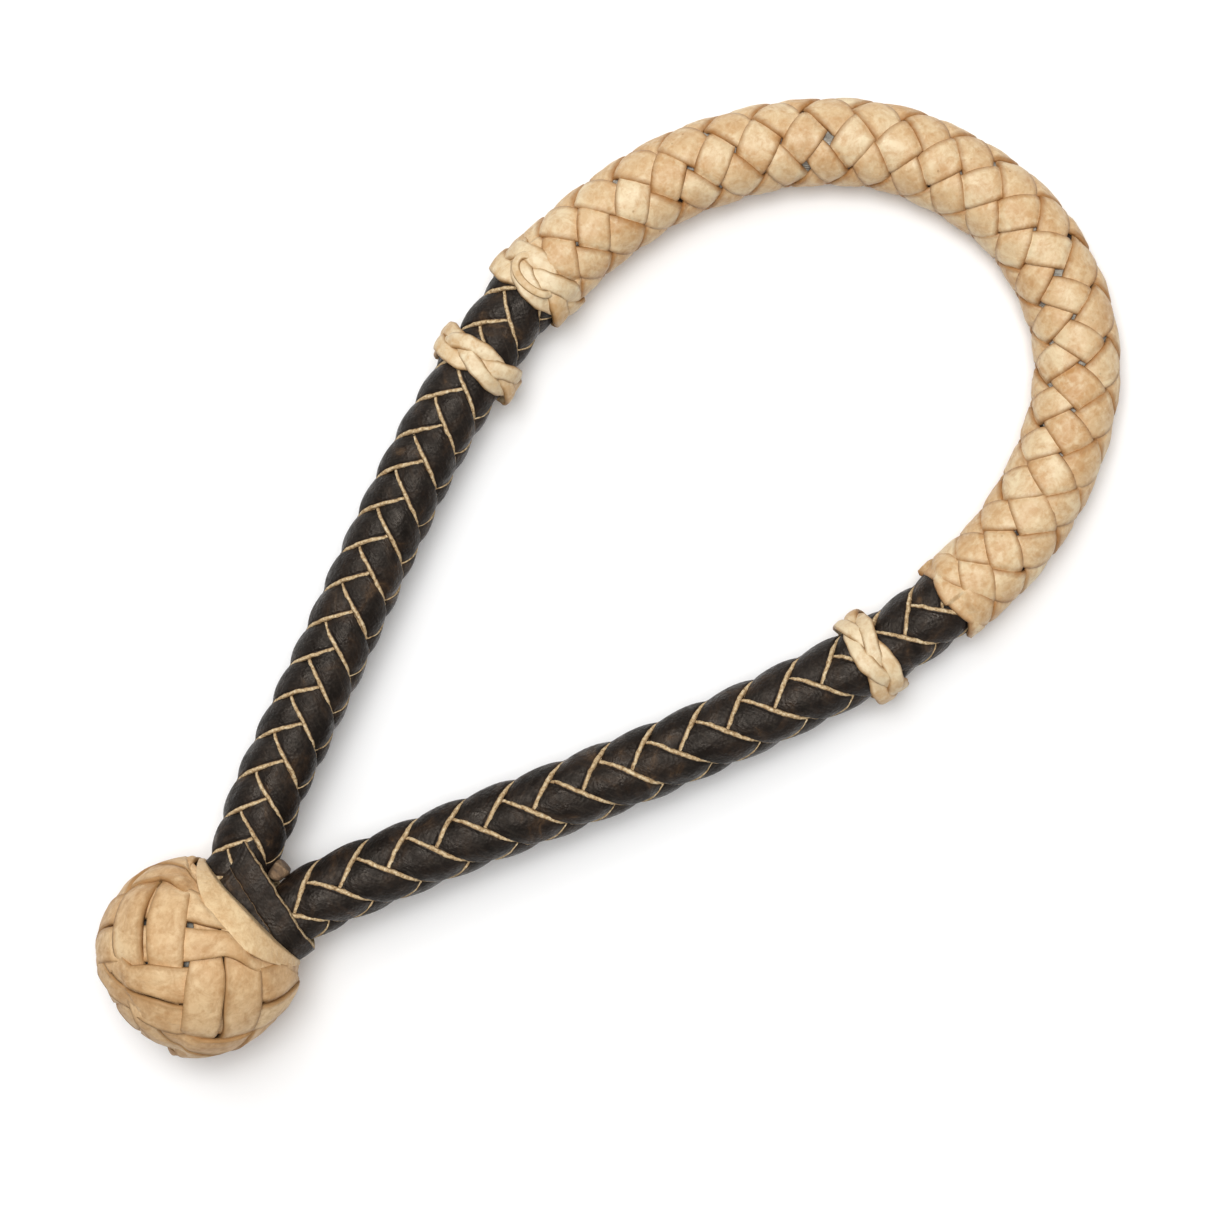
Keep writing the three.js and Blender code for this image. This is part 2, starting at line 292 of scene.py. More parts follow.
# Raw side: share of the bevel's width, drop as a share of the thickness, and rawness.
LEATHER_RAW_SIDE = [
    (0.08, -0.22, 0.1), (0.3, 0.0, 0.75), (0.55, 0.07, 1.0), (0.8, -0.04, 0.8), (1.0, -0.4, 0.6),
]
LEATHER_UNDERSIDE = (0.8, 0.0, -0.8)
LEATHER_TIGHT_SIDE = [(1.0, -0.7), (0.75, -0.3), (0.3, -0.06)]


def leather_section(half_width, thickness, dome, raw_bevel, tight_bevel):
    """Section of a leather strand: a wide raw edge on one side and a narrow one on the other."""
    left, right = -half_width + tight_bevel, half_width - raw_bevel
    top = thickness / 2
    height = top + dome * (1 - (2 * LEATHER_TOP - 1) ** 2)
    rest = []
    for share, drop, rawness in LEATHER_RAW_SIDE:
        rest.append((right + share * raw_bevel, top + drop * thickness, rawness))
    for place in LEATHER_UNDERSIDE:
        rest.append((place * half_width, -top, 1.0))
    for share, drop in LEATHER_TIGHT_SIDE:
        rest.append((left - share * tight_bevel, top + drop * thickness, 1.0))
    return join_section(left + LEATHER_TOP * (right - left), height, rest)


STRING_POINTS = 16
STRING_FLATNESS = 0.8
STRING_EDGE_START = 0.8


def string_section(half_width, thickness):
    """Section of a soft rounded string."""
    turn = np.linspace(pi, -pi, STRING_POINTS, endpoint=False)
    across = half_width * cos(turn)
    height = thickness / 2 * np.sign(sin(turn)) * np.abs(sin(turn)) ** STRING_FLATNESS
    edge = smooth_step(np.abs(across) / half_width, STRING_EDGE_START, 1.0)
    return across, height, edge


# ---- body braid ----

STRANDS_EACH_WAY = 4
LEFT_LAY = 38.4  # length of one full turn of a strand on the left shank
RIGHT_LAY = 48.6  # the right shank is braided more openly
LEFT_TURN = radians(8)  # where the herringbone's ridge lies round each shank
RIGHT_TURN = radians(42)
NOSE_PHASE = radians(19.1)  # extra turn of the strands under the nose button
HIDDEN_DEPTH = 20  # how far inside the nose button the pattern starts to change
LAY_CHANGE_START = NOSE_END - 26
LAY_CHANGE_END = NOSE_END + 54
BRAID_RADIUS = 6.85
BRAID_LIFT = 0.74
BRAID_FLATTENING = 1.7
BRAID_DIP = 0.08  # keeps each strand under a little longer than over
BRAID_STEP = 0.5
STRAND_HALF_WIDTH = 3.85
STRAND_THICKNESS = 1.3
STRAND_DOME = 0.48
STRAND_RAW_BEVEL = 1.15
STRAND_TIGHT_BEVEL = 0.45
LEFT_SEED, RIGHT_SEED = 3, 7
SEEDS_PER_STRAND = 10


def past_nose(s):
    """0 on the left shank, 1 on the right one, changing under the nose button."""
    return smooth_step(s, NOSE_START + HIDDEN_DEPTH, NOSE_END - HIDDEN_DEPTH)


def braid_lay(s):
    """Length of one full turn of a strand; it grows where the right shank leaves the nose button."""
    return LEFT_LAY + (RIGHT_LAY - LEFT_LAY) * smooth_step(s, LAY_CHANGE_START, LAY_CHANGE_END)


def braid_turn(s):
    """Where the herringbone's ridge lies round the shank at distance s."""
    return LEFT_TURN + (RIGHT_TURN - LEFT_TURN) * past_nose(s)


PHASE_MARGIN = 20
PHASE_STEP = 0.5
PHASE_S = np.arange(-PHASE_MARGIN, ROUTE_LENGTH + PHASE_MARGIN, PHASE_STEP)
PHASE = np.cumsum(TURN / braid_lay(PHASE_S) * PHASE_STEP)
PHASE += NOSE_PHASE * past_nose(PHASE_S) - np.interp(0, PHASE_S, PHASE)


def braid_phase(s):
    """How far a strand has turned round the shank at distance s."""
    return np.interp(s, PHASE_S, PHASE)


def body_strand(number, turn_sign, material):
    """One leather strand, over two and under two of those that run the other way."""
    across, height, edge = leather_section(
        STRAND_HALF_WIDTH, STRAND_THICKNESS, STRAND_DOME, STRAND_RAW_BEVEL, STRAND_TIGHT_BEVEL)
    seed = SEEDS_PER_STRAND * number + (LEFT_SEED if turn_sign > 0 else RIGHT_SEED)
    ends = STRAND_HALF_WIDTH
    s = np.arange(ends, ROUTE_LENGTH - ends, BRAID_STEP)[:, None]
    pitch = np.arctan2(TURN * BRAID_RADIUS, braid_lay(s))
    widening = cos(pitch) / cos(pitch[0])
    start = TURN * number / STRANDS_EACH_WAY
    fine_fray = wander(s * 5 + 40 * across, wavelength=5.3, seed=seed, size=0.1)
    coarse_fray = wander(s + across, wavelength=4.1, seed=seed, size=0.12)
    ragged = edge * (fine_fray + coarse_fray)
    uneven = 1 + wander(s, wavelength=23, seed=seed + 1, size=0.02)
    lateral = across * widening * uneven + ragged * np.sign(across)
    lateral = lateral + wander(s, wavelength=17, seed=seed + 4, size=0.12)
    at = s - lateral * sin(pitch)
    angle = start + turn_sign * (braid_phase(s) + lateral * cos(pitch) / BRAID_RADIUS)
    # Which strand of the other family lies here, counted along this one.
    other = (angle + turn_sign * braid_phase(at)) / (TURN / STRANDS_EACH_WAY)
    wave = cos(pi / 2 * (other + number - 0.5))
    lift = turn_sign * BRAID_LIFT * flattened_wave(wave - BRAID_DIP * turn_sign, BRAID_FLATTENING)
    rough = wander(s + across, wavelength=6.1, seed=seed + 2, size=0.05)
    radius = (BRAID_RADIUS + lift + height + rough) * squeeze(at)
    rings = on_shank(at, angle + braid_turn(at), radius)
    looks = (across, s / cos(pitch[0]), edge, seed)
    side = "left" if turn_sign > 0 else "right"
    strip_mesh(
        f"braid_strand_{side}_{number + 1}", rings, False, looks, material,
        "black_leather", "loop", f"body_strand_{side}_{number + 1}")


# ---- woven nose button ----

NOSE_BIGHTS = 4
NOSE_ROWS = 43  # bight spacings that the string advances in one run
NOSE_RADIUS = 8.85
NOSE_WEAVE_START = NOSE_START + 5.5
NOSE_WEAVE_END = NOSE_END + 4.2
NOSE_START_TURN = radians(45)
NOSE_LIFT = 0.62
NOSE_FLATTENING = 2.7
NOSE_ROUNDING = (0.0012, 0.0062)  # of the turns at the left and the right rim
NOSE_SWELL = 0.08  # how much wider the string is where it lies on top
NOSE_STEP = 0.55
NOSE_CRUMPLE = 0.07
NOSE_RIM_FADE = 0.4  # share of half a bight spacing over which the lift fades at the rims
NOSE_SEED = 31
NOSE_VARIATION = 40  # how fast the random variation runs in one run of the string
LOOKUP_STEPS = 1500


def zigzag(t, rounding_low, rounding_high):
    """0 at even t and 1 at odd t, straight between, with turns rounded at each end."""
    wave = cos(pi * t) * (1 - (rounding_low + rounding_high) / 2)
    return np.arccos(wave + (rounding_high - rounding_low) / 2) / pi


def crossing_rows(turn, share_turn, spacing):
    """How far a point lies from the upward and the downward runs, in bight spacings."""
    return (turn - share_turn) / spacing, (turn + share_turn) / spacing


def nose_button_string(material):
    """The nose button: one string woven over one and under one, and closed on itself."""
    across, height, _ = flat_section(half_width=3.95, thickness=1.0, dome=0.32, bevel=0.4, lip=0.08)
    length = NOSE_WEAVE_END - NOSE_WEAVE_START
    runs = 2 * NOSE_BIGHTS
    run_turn = TURN * NOSE_ROWS / runs
    spacing = TURN / NOSE_BIGHTS
    path_length = runs * hypot(length, run_turn * NOSE_RADIUS)
    count = int(path_length / NOSE_STEP)
    t = (np.arange(count) * runs / count)[:, None]
    going_up = np.floor(t) % 2 == 0
    direction = np.where(going_up, 1, -1)
    share = zigzag(t, *NOSE_ROUNDING)
    along = length * share
    angle = NOSE_START_TURN + run_turn * t
    angle_in_weave = angle - NOSE_START_TURN
    d_along = np.gradient(along[:, 0])[:, None]
    d_round = np.full_like(d_along, NOSE_RADIUS * run_turn * runs / count)
    norm = hypot(d_along, d_round)

    # How far along its own run each point is, counted in crossings, and where it lies on top.
    own_share = (1 - np.abs(1 - t % 2)) * run_turn
    own_up, own_down = crossing_rows(angle_in_weave, own_share, spacing)
    crossings = 2 * own_share / spacing
    own_row = np.where(going_up, crossings + np.round(own_up) * 2, np.round(own_down) * 2 - crossings)
    own_wave = cos(pi * own_row) * direction
    pace = t * NOSE_VARIATION
    uneven = 1 + wander(pace, wavelength=9, seed=NOSE_SEED, size=0.09)
    lateral = across * uneven * (1 + NOSE_SWELL * own_wave)
    lateral = lateral + wander(pace, wavelength=13, seed=NOSE_SEED + 5, size=0.5)
    at = along + lateral * d_round / norm
    round_angle = angle - lateral * d_along / norm / NOSE_RADIUS

    # Which runs of the other direction cross here, and so whether this one is over or under.
    straight = np.linspace(0, 1, LOOKUP_STEPS)
    up_share = np.interp(at / length, zigzag(straight, *NOSE_ROUNDING), straight) * run_turn
    here_up, here_down = crossing_rows(round_angle - NOSE_START_TURN, up_share, spacing)
    row = np.where(going_up, np.round(own_up) + here_down, np.round(own_down) + here_up)
    wave = cos(pi * row) * direction
    near_end = np.minimum(share, 1 - share) * length
    fade = smooth_step(near_end, 0.0, NOSE_RIM_FADE * pi * NOSE_RADIUS / NOSE_BIGHTS)
    level = NOSE_LIFT * fade * flattened_wave(wave, NOSE_FLATTENING)
    folds = wander(t * 90 + across, wavelength=17, seed=NOSE_SEED + 1)
    creases = wander(t * 230 - 2 * across, wavelength=11, seed=NOSE_SEED + 2)
    rough = NOSE_CRUMPLE * (folds + creases)
    rings = on_shank(NOSE_WEAVE_START + at, round_angle, NOSE_RADIUS + level + height + rough)
    looks = (across, t * path_length / runs, side_share(across), np.floor(t))
    strip_mesh("nose_button_string", rings, True, looks, material, "rawhide", "loop", "nose_button")


# ---- ring knots ----

RING_LEADS = 3
RING_BIGHTS = 5
RING_SEED_TURN = 0.3  # radians; each ring is turned by its seed times this


def plait_ring(name, centre_at, radius, half_length, section, lift, step,
               material, body, node, seed, tilt=0.0):
    """A three-lead ring knot: one string plaited round the shank and closed on itself."""
    across, height, _ = section
    count = int(RING_LEADS * TURN * radius / step)
    angle = (np.arange(count) * RING_LEADS * TURN / count)[:, None]
    swing = RING_BIGHTS * angle / RING_LEADS
    along = half_length * sin(swing)
    d_along = half_length * cos(swing) * RING_BIGHTS / RING_LEADS
    d_round = np.full_like(d_along, radius)
    norm = hypot(d_along, d_round)
    lateral = across * (1 + wander(angle * 10, wavelength=7, seed=seed, size=0.08))
    at = along + lateral * d_round / norm
    round_angle = angle - lateral * d_along / norm / radius
    rough = wander(angle * 12 + across, wavelength=6, seed=seed + 2, size=0.08)
    level = lift * sin(2 * swing) + rough
    at = at + tilt * cos(round_angle) * radius
    rings = on_shank(centre_at + at, round_angle + RING_SEED_TURN * seed, radius + level + height)
    looks = (across, angle * radius, side_share(across), np.floor(angle / TURN))
    strip_mesh(name, rings, True, looks, material, "pale_rawhide", body, node)


def nose_end_ring(material):
    """The ring knot round the left end of the nose button."""
    plait_ring(
        "nose_end_ring_string", centre_at=NOSE_START + 4.8, radius=9.8, half_length=3.3,
        section=flat_section(half_width=2.5, thickness=1.1, dome=0.25, bevel=0.3),
        lift=0.65, step=0.4, material=material, body="loop", node="nose_end_ring", seed=1)


def keeper_ring(side, centre_at, material, seed, tilt=0.0):
    """One of the two ring knots that slide along the shanks."""
    plait_ring(
        f"side_ring_{side}_string", centre_at=centre_at, radius=9.95, half_length=2.5,
        section=string_section(half_width=1.95, thickness=1.7), lift=0.6, step=0.3,
        material=material, body=f"ring_{side}", node=f"side_ring_{side}", seed=seed, tilt=tilt)


TAIL_AT = NOSE_START + 5.3
TAIL_ANGLE = radians(85)
TAIL_LEVEL = 10.8
TAIL_DEPTH = 0.6  # how far its ends are tucked in
TAIL_RISE = 1.0
TAIL_RISE_TURN = 0.5
TAIL_HALF_LENGTH = 3.4
TAIL_HALF_TURN = radians(31)
TAIL_START, TAIL_END = -45, 165  # degrees of its bend
TAIL_STEPS = 90
TAIL_BEND_RADIUS = 5
TAIL_STRAND = 41


def tail_loop(material):
    """The end of the left end ring's string, looped back over the ring and tucked in."""
    across, height, _ = string_section(half_width=0.95, thickness=1.2)
    turn = np.radians(np.linspace(TAIL_START, TAIL_END, TAIL_STEPS))[:, None]
    d_along = -TAIL_HALF_LENGTH * cos(turn)
    d_round = TAIL_HALF_TURN * TAIL_LEVEL * sin(turn)
    norm = hypot(d_along, d_round)
    s = TAIL_AT - TAIL_HALF_LENGTH * sin(turn) + across * d_round / norm
    angle = TAIL_ANGLE - TAIL_HALF_TURN * cos(turn) - across * d_along / norm / TAIL_LEVEL
    from_end = np.minimum(turn - turn[0], turn[-1] - turn)
    rise = TAIL_RISE * smooth_step(from_end, 0, TAIL_RISE_TURN)
    radius = TAIL_LEVEL - TAIL_DEPTH + rise + height
    looks = (across, turn * TAIL_BEND_RADIUS, side_share(across), TAIL_STRAND)
    strip_mesh(
        "nose_end_ring_tail", on_shank(s, angle, radius), False, looks, material,
        "pale_rawhide", "loop", "nose_end_ring")


# ---- heel knot ----

HEEL_BIGHTS = 5
HEEL_LEADS = 4
HEEL_MIDDLE = 88  # degrees from the far pole: the middle of the woven zone
HEEL_REACH = 42  # and how far the weave reaches to each side of it
HEEL_LEVEL = 21.75
HEEL_LIFT = 0.66
HEEL_FLATTENING = 3.0
HEEL_STEPS = 2400
HEEL_ROUNDING = 0.0005
HEEL_TURN_FADE = 0.16  # share of a run over which the lift fades at each turn
HEEL_PAIR_OFFSET = 4.85
HEEL_STRING_HALF_WIDTH = 4.42
HEEL_START_TURN = radians(52.8)
HEEL_RIM_CROWDING = 4.8  # how fast the strings narrow towards the rim and the far end
HEEL_FAR_CROWDING = 3.0
HEEL_NARROWEST = 0.62
HEEL_DIVE = 1.7
HEEL_DIVE_START = radians(117)
HEEL_DIVE_END = radians(124)
HEEL_RIM_ANGLE = radians(126)
HEEL_RIM_TILT = radians(2.5)
HEEL_RIM_YIELD = 0.5
HEEL_SWELL = 0.5
HEEL_RIM_SWELL = 1.9
HEEL_SWELL_START = radians(85)
HEEL_SWELL_END = radians(130)
HEEL_VARIATION = 40  # how fast the random variation runs in one run of a string
HEEL_SEED = 60
HEEL_STRANDS = 20  # numbers kept for the runs of one string
HEEL_TABLE = np.linspace(0, 1, 400)


def heel_polar(share):
    """Angle from the far pole of the heel knot along one run, 0 at the far end, 1 at the rim."""
    return np.radians(HEEL_MIDDLE - HEEL_REACH * cos(pi * share))


def heel_share(polar):
    """How far along a run lies at an angle from the far pole."""
    return np.interp(polar, heel_polar(HEEL_TABLE), HEEL_TABLE)


def heel_bulge(polar, turn):
    """How far the knot swells out towards its rim, most of all beside the right shank."""
    towards_right = 0.5 - 0.5 * sin(polar) * cos(turn)
    rise = smooth_step(polar, HEEL_SWELL_START, HEEL_SWELL_END)
    return HEEL_SWELL + HEEL_RIM_SWELL * rise * towards_right ** 2


def heel_string(index, side, material):
    """One of the two strings of the doubled heel knot, laid beside its partner."""
    across, height, _ = flat_section(
        HEEL_STRING_HALF_WIDTH, thickness=1.15, dome=0.14, bevel=0.25, lip=0.12)
    runs = 2 * HEEL_BIGHTS
    run_turn = TURN * HEEL_LEADS / runs
    spacing = TURN / HEEL_BIGHTS
    t = (np.arange(HEEL_STEPS) * runs / HEEL_STEPS)[:, None]
    going_up = np.floor(t) % 2 == 0
    share = zigzag(t, HEEL_ROUNDING, HEEL_ROUNDING)
    polar = heel_polar(share)
    turn = HEEL_START_TURN + run_turn * t
    normal = round_heel(polar, turn, 1.0)
    tangent = np.roll(normal, -1, 0) - np.roll(normal, 1, 0)
    tangent /= np.linalg.norm(tangent, axis=-1, keepdims=True)
    beside = np.cross(tangent, normal)

    crowding = np.where(share > 0.5, HEEL_RIM_CROWDING, HEEL_FAR_CROWDING)
    narrowing = np.maximum(1 - crowding * (share - 0.5) ** 2, HEEL_NARROWEST)
    pace = t * HEEL_VARIATION
    uneven = 1 + wander(pace, wavelength=11, seed=HEEL_SEED + index, size=0.04)
    lateral = side * HEEL_PAIR_OFFSET + across * uneven
    lateral = lateral * narrowing
    lateral = lateral + wander(pace, wavelength=17, seed=HEEL_SEED + 4 + index, size=0.3)
    lean = (lateral / HEEL_LEVEL)[..., None]
    direction = normal * cos(lean) + beside * sin(lean)
    here_polar = np.arccos(np.clip(-direction[..., 0], -1, 1))
    around = np.arctan2(direction[..., 2], direction[..., 1])
    here_turn = turn + np.angle(np.exp(1j * (around - turn)))

    # Which runs of the other direction cross here, and so whether this one is over or under.
    here_share = heel_share(here_polar)
    own_up, own_down = crossing_rows(turn - HEEL_START_TURN, share * run_turn, spacing)
    here_up, here_down = crossing_rows(here_turn - HEEL_START_TURN, here_share * run_turn, spacing)
    row = np.where(going_up, here_down - np.round(own_up), np.round(own_down) - here_up)
    wave = -cos(pi * row) * np.where(going_up, 1, -1)
    fade = smooth_step(np.minimum(share, 1 - share), 0.0, HEEL_TURN_FADE)
    level = HEEL_LIFT * fade * flattened_wave(wave, HEEL_FLATTENING)
    # Above and below, the strings dive under the pale collar.
    dive = smooth_step(here_polar, HEEL_DIVE_START, HEEL_DIVE_END)
    level = level - HEEL_DIVE * sin(here_turn) ** 2 * dive
    rough = wander(t * 60 + across * 2, wavelength=19, seed=HEEL_SEED + 10 + index, size=0.12)
    radius = HEEL_LEVEL + level + height + rough + heel_bulge(here_polar, here_turn)
    # At the rim the strings crowd together instead of running on over the shanks.
    rim = HEEL_RIM_ANGLE - HEEL_RIM_TILT * cos(here_turn)
    crowded = here_polar - HEEL_RIM_YIELD * np.maximum(here_polar - rim, 0)
    rings = round_heel(crowded, here_turn, radius)
    looks = (across, pace, side_share(across), np.floor(t) + HEEL_STRANDS * index)
    strip_mesh(
        f"heel_knot_string_{index}", rings, True, looks, material,
        "knot_rawhide", "loop", "heel_knot")


COLLAR_START = radians(118)  # angles from the far pole
COLLAR_END = radians(136.5)
COLLAR_MOUTH = radians(152)
COLLAR_RADIUS = 22.5
COLLAR_THICKNESS = 0.8
COLLAR_SIDE_SHARE = 0.12  # of its width above and below
COLLAR_RIPPLE = 0.15
COLLAR_SIDES = 96
COLLAR_BANDS = 14
COLLAR_LID_BANDS = 7
COLLAR_SCALE = 20  # mm of strip per radian, for the materials
COLLAR_STRAND = 55


def heel_collar(material):
    """A strip of rawhide laid round the heel ball at its mouth.

    It shows only above and below, where it is widest, and pinches out at the sides. Past
    its end angle it turns flat across the mouth of the knot, up to the wrapped shanks."""
    turn = full_circle(COLLAR_SIDES)
    wide = COLLAR_SIDE_SHARE + (1 - COLLAR_SIDE_SHARE) * sin(turn) ** 2
    width = (COLLAR_END - COLLAR_START) * wide
    polar = COLLAR_END - width * np.linspace(1, 0, COLLAR_BANDS)[:, None]
    lid = np.linspace(COLLAR_END, COLLAR_MOUTH, COLLAR_LID_BANDS + 1)[1:, None]
    polar = np.concatenate([polar, np.broadcast_to(lid, (COLLAR_LID_BANDS, COLLAR_SIDES))])
    inside = np.minimum(polar, COLLAR_END)
    level = COLLAR_RADIUS + heel_bulge(inside, turn) + COLLAR_RIPPLE * sin(5 * turn + 8 * inside)
    level = level * cos(inside) / cos(polar)
    outer = round_heel(polar, turn, level)
    inner = round_heel(polar, turn, level - COLLAR_THICKNESS)
    rings = np.concatenate([outer, inner[::-1]])
    down = np.concatenate([polar, polar[::-1]])
    looks = (down * COLLAR_SCALE, turn * COLLAR_SCALE, 0.0, COLLAR_STRAND)
    strip_mesh("heel_knot_collar", rings, True, looks, material, "knot_rawhide", "loop", "heel_knot")


CAP_LEVEL = 20.95
CAP_PITCH = 8.2
CAP_REACH = radians(38)
CAP_LIFT = 0.42
CAP_FLATTENING = 2.5
CAP_STEPS = 80
CAP_STRAND = 50


def heel_cap_strips(material):
    """Six short strips woven over and under each other where the knot closes at its far pole."""
    across, height, _ = flat_section(half_width=3.85, thickness=1.0, dome=0.14, bevel=0.25)
    arc = np.linspace(-CAP_REACH, CAP_REACH, CAP_STEPS)[:, None]
    for family in (0, 1):
        for place in (-1, 0, 1):
            wave = cos(pi * arc * CAP_LEVEL / CAP_PITCH) * (-1) ** (place + family)
            level = CAP_LEVEL + CAP_LIFT * tanh(CAP_FLATTENING * wave) + height
            lean = (place * CAP_PITCH + across) / CAP_LEVEL
            first = sin(arc) * cos(lean) * level
            second = sin(lean) * level
            sides = (first, second) if family == 0 else (second, first)
            rings = np.stack([-cos(arc) * cos(lean) * level, *sides], -1)
            number = CAP_STRAND + 4 * family + place
            looks = (across, arc * CAP_LEVEL, side_share(across), number)
            strip_mesh(
                f"heel_knot_far_strip_{family + 1}_{place + 2}", rings, False, looks,
                material, "knot_rawhide", "loop", "heel_knot")


FILLING_RADIUS = 19.6
FILLING_END = radians(134)
FILLING_BUMP = 0.1
FILLING_BANDS, FILLING_SIDES = 48, 96
POLE_GAP = 0.02  # radians left open at a pole, closed by a flat face


def heel_filling(material):
    """The wound ball under the heel knot, open where the shanks go in."""
    polar = np.linspace(POLE_GAP, FILLING_END, FILLING_BANDS)[:, None]
    turn = full_circle(FILLING_SIDES)
    bumps = FILLING_BUMP * sin(polar * 90 + 2 * turn) + FILLING_BUMP * sin(turn * 7 + polar * 9)
    ball = round_heel(polar, turn, FILLING_RADIUS + bumps + heel_bulge(polar, turn))
    strip_mesh("heel_knot_filling", ball, False, (), material, "grey_cloth", "loop", "heel_filling")


# ---- nose foundation, throat wrap and filler ----

CLOTH_START = NOSE_START + 1
CLOTH_END = NOSE_END - 9
CLOTH_STEP = 0.8
CLOTH_SIDES = 64
CLOTH_RADIUS = 8.5
CLOTH_THICKNESS = 0.4


def nose_foundation(material):
    """The cloth tube under the nose button, seen as specks between its strings."""
    s = np.arange(CLOTH_START, CLOTH_END, CLOTH_STEP)[:, None]
    turn = full_circle(CLOTH_SIDES)
    radius = CLOTH_RADIUS + (0.05 * sin(s * 7 + turn) + 0.04 * sin(turn * 9 + s))
    s = np.broadcast_to(s, radius.shape)
    turn = np.broadcast_to(turn, radius.shape)
    outer = on_shank(s, turn, radius)
    inner = on_shank(s, turn, radius - CLOTH_THICKNESS)[::-1]
    tube = np.concatenate([outer, inner])
    strip_mesh("nose_button_foundation", tube, True, (), material, "grey_cloth", "loop", "nose_foundation")


BRAIDED_RADIUS = 8.0
TUCK_DEPTH = 2.6  # how far the band dives under the braid outside the left shank
TUCK_START, TUCK_END = 0.05, 0.5  # radians from where the band meets the shank
BAND_STEPS = 240


def distance_at_x(x, on_left):
    """The distance along the route where one of the shanks passes x."""
    half = len(ROUTE_S) // 2
    if on_left:
        return np.interp(x, ROUTE_LINE[:half, 0], ROUTE_S[:half])
    return np.interp(x, ROUTE_LINE[:half:-1, 0], ROUTE_S[:half:-1])


def band_loop(x, clearance):
    """Points of a band pulled round both shanks at x, in four equal shares of steps."""
    s_left = distance_at_x(x, True)
    left, _, _ = shank_frame(s_left)
    right, _, _ = shank_frame(distance_at_x(x, False))
    radius = BRAIDED_RADIUS * float(squeeze(s_left)) + clearance
    quarter = BAND_STEPS // 4
    half = pi / 2
    left_arc = np.linspace(half, -half, quarter)
    right_arc = np.linspace(-half, -3 * half, quarter)
    tuck = TUCK_DEPTH * smooth_step(half - np.abs(left_arc), TUCK_START, TUCK_END)
    y = np.concatenate([
        left[1] + (radius - tuck) * cos(left_arc),
        np.linspace(left[1], right[1], quarter + 2)[1:-1],
        right[1] + radius * cos(right_arc),
        np.linspace(right[1], left[1], quarter + 2)[1:-1],
    ])
    z = np.concatenate([
        (radius - tuck) * sin(left_arc),
        np.full(quarter, -radius),
        radius * sin(right_arc),
        np.full(quarter, radius),
    ])
    return np.stack([y, z], -1)


WRAP_LEAN = 0.17
WRAP_POINT_SPACING = 0.4
WRAP_STRAND = 95
WRAP_SEED = 90


def throat_turn(index, x_middle, half_width, clearance, material):
    """One turn of the black strip wound round both shanks at the throat."""
    across, height, edge = flat_section(half_width, thickness=1.3, dome=0.25, bevel=0.6)
    columns = []
    for a, h in zip(across, height):
        points = band_loop(x_middle + a, clearance + h)
        y = points[:, 0]
        uneven = wander(y, wavelength=5, seed=WRAP_SEED + index, size=0.12)
        x = x_middle + a + (WRAP_LEAN * y + uneven)
        columns.append(np.column_stack([x, points]))
    rings = np.stack(columns, 1)
    along = np.arange(len(rings))[:, None] * WRAP_POINT_SPACING
    looks = (across, along, edge, WRAP_STRAND + index)
    strip_mesh(
        f"throat_wrap_turn_{index}", rings, True, looks, material,
        "black_leather", "loop", "throat_wrap")


SCRAP_PLACE = (27.6, 1.9)
SCRAP_HALF_SIZE = (2.4, 2.0, 4.6)
SCRAP_ROUNDING = 0.5  # lower is boxier
SCRAP_CORNERS = 0.6
SCRAP_FOLD = 0.25
SCRAP_TAPER = 0.12
SCRAP_BANDS, SCRAP_SIDES = 24, 32
SCRAP_POLE_GAP = 0.03


def signed_power(value, power):
    """A power that keeps the sign of the value."""
    return np.sign(value) * np.abs(value) ** power


def throat_filler(material):
    """A folded scrap of brown leather pushed into the crotch of the loop."""
    polar = np.linspace(SCRAP_POLE_GAP, pi - SCRAP_POLE_GAP, SCRAP_BANDS)[:, None]
    turn = full_circle(SCRAP_SIDES)
    half_x, half_y, half_z = SCRAP_HALF_SIZE
    girth = signed_power(sin(polar), SCRAP_ROUNDING)
    x = half_x * girth * signed_power(cos(turn), SCRAP_CORNERS)
    y = half_y * girth * signed_power(sin(turn), SCRAP_CORNERS)
    z = half_z * signed_power(cos(polar), SCRAP_CORNERS) * np.ones_like(turn)
    folded = x + SCRAP_FOLD * sin(3 * turn + 4 * polar)
    place_x, place_y = SCRAP_PLACE
    lump = np.stack([place_x + folded, place_y + y * (1 + SCRAP_TAPER * folded), z], -1)
    strip_mesh(
        "throat_filler_scrap", lump, False, (), material, "brown_leather", "loop", "throat_filler")


# ---- materials ----

